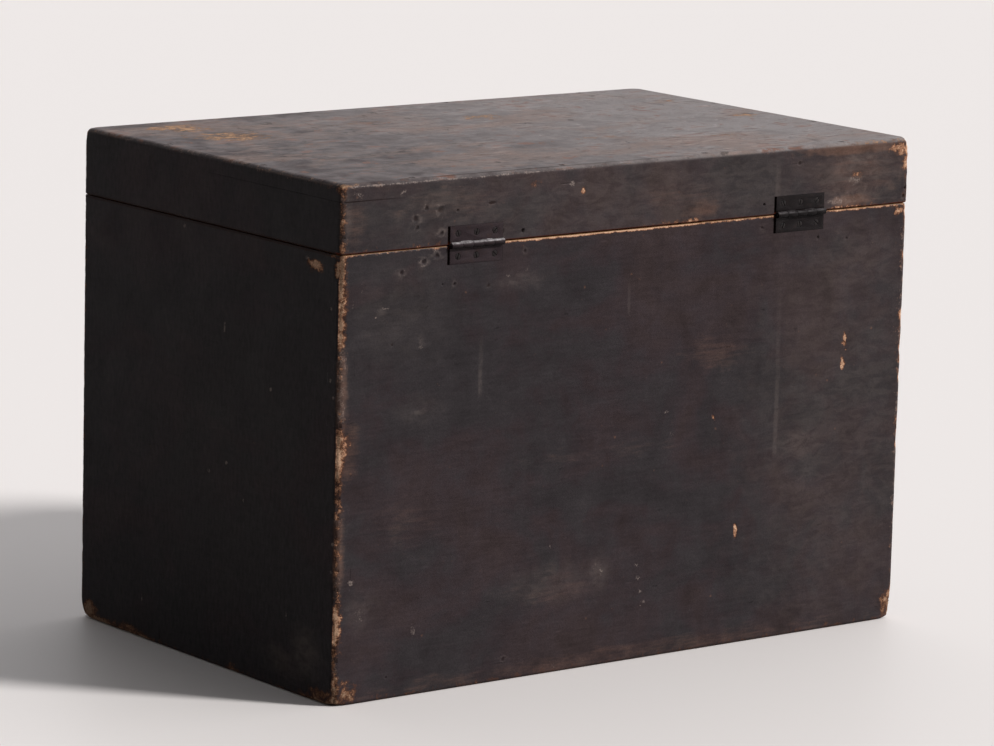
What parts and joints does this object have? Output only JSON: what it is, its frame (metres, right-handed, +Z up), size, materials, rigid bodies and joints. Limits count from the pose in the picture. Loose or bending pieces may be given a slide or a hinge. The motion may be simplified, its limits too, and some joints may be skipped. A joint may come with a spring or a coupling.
{
  "type": "painted wooden chest",
  "caption": "Worn dark-painted softwood chest with dovetailed walls, a nailed plank bottom and a deep box lid that swings up on butt hinges at the back.",
  "frame": {"origin": "middle of the underside, on the floor", "axes": "+X along the chest towards its right end, +Y towards the hinged back, +Z up"},
  "size_m": [0.794, 0.5012, 0.56],
  "materials": {
    "painted_pine": "worn black-brown paint over softwood, bare and orange-brown along the edges",
    "hinge_iron": "wrought butt hinge, painted over with the chest and worn on the knuckles",
    "fastener_steel": "dull dark steel with old paint"
  },
  "bodies": {
    "chest": {"front_board": "painted_pine", "back_board": "painted_pine", "left_end_board": "painted_pine", "right_end_board": "painted_pine", "bottom_plank_front": "painted_pine", "bottom_plank_middle": "painted_pine", "bottom_plank_back": "painted_pine", "left_hinge_lower_leaf": "hinge_iron", "left_hinge_pin": "hinge_iron", "right_hinge_lower_leaf": "hinge_iron", "right_hinge_pin": "hinge_iron", "left_hinge_lower_screw_1": "fastener_steel", "left_hinge_lower_screw_2": "fastener_steel", "left_hinge_lower_screw_3": "fastener_steel", "right_hinge_lower_screw_1": "fastener_steel", "right_hinge_lower_screw_2": "fastener_steel", "right_hinge_lower_screw_3": "fastener_steel", "bottom_nail_01": "fastener_steel", "bottom_nail_02": "fastener_steel", "bottom_nail_03": "fastener_steel", "bottom_nail_04": "fastener_steel", "bottom_nail_05": "fastener_steel", "bottom_nail_06": "fastener_steel", "bottom_nail_07": "fastener_steel", "bottom_nail_08": "fastener_steel", "bottom_nail_09": "fastener_steel", "bottom_nail_10": "fastener_steel", "bottom_nail_11": "fastener_steel", "bottom_nail_12": "fastener_steel", "bottom_nail_13": "fastener_steel", "bottom_nail_14": "fastener_steel", "bottom_nail_15": "fastener_steel", "bottom_nail_16": "fastener_steel"},
    "lid": {"lid_top_board": "painted_pine", "lid_front_rail": "painted_pine", "lid_back_rail": "painted_pine", "lid_left_rail": "painted_pine", "lid_right_rail": "painted_pine", "left_hinge_upper_leaf": "hinge_iron", "right_hinge_upper_leaf": "hinge_iron", "left_hinge_upper_screw_1": "fastener_steel", "left_hinge_upper_screw_2": "fastener_steel", "left_hinge_upper_screw_3": "fastener_steel", "right_hinge_upper_screw_1": "fastener_steel", "right_hinge_upper_screw_2": "fastener_steel", "right_hinge_upper_screw_3": "fastener_steel", "lid_nail_01": "fastener_steel", "lid_nail_02": "fastener_steel", "lid_nail_03": "fastener_steel", "lid_nail_04": "fastener_steel", "lid_nail_05": "fastener_steel", "lid_nail_06": "fastener_steel", "lid_nail_07": "fastener_steel", "lid_nail_08": "fastener_steel", "lid_nail_09": "fastener_steel", "lid_nail_10": "fastener_steel", "lid_nail_11": "fastener_steel", "lid_nail_12": "fastener_steel"}
  },
  "joints": [
    {"name": "lid_hinge", "type": "hinge", "parent": "chest", "child": "lid", "pos_m": [0, 0.2496, 0.485], "axis": [-1, 0, 0], "range_deg": [0, 180]}
  ]
}
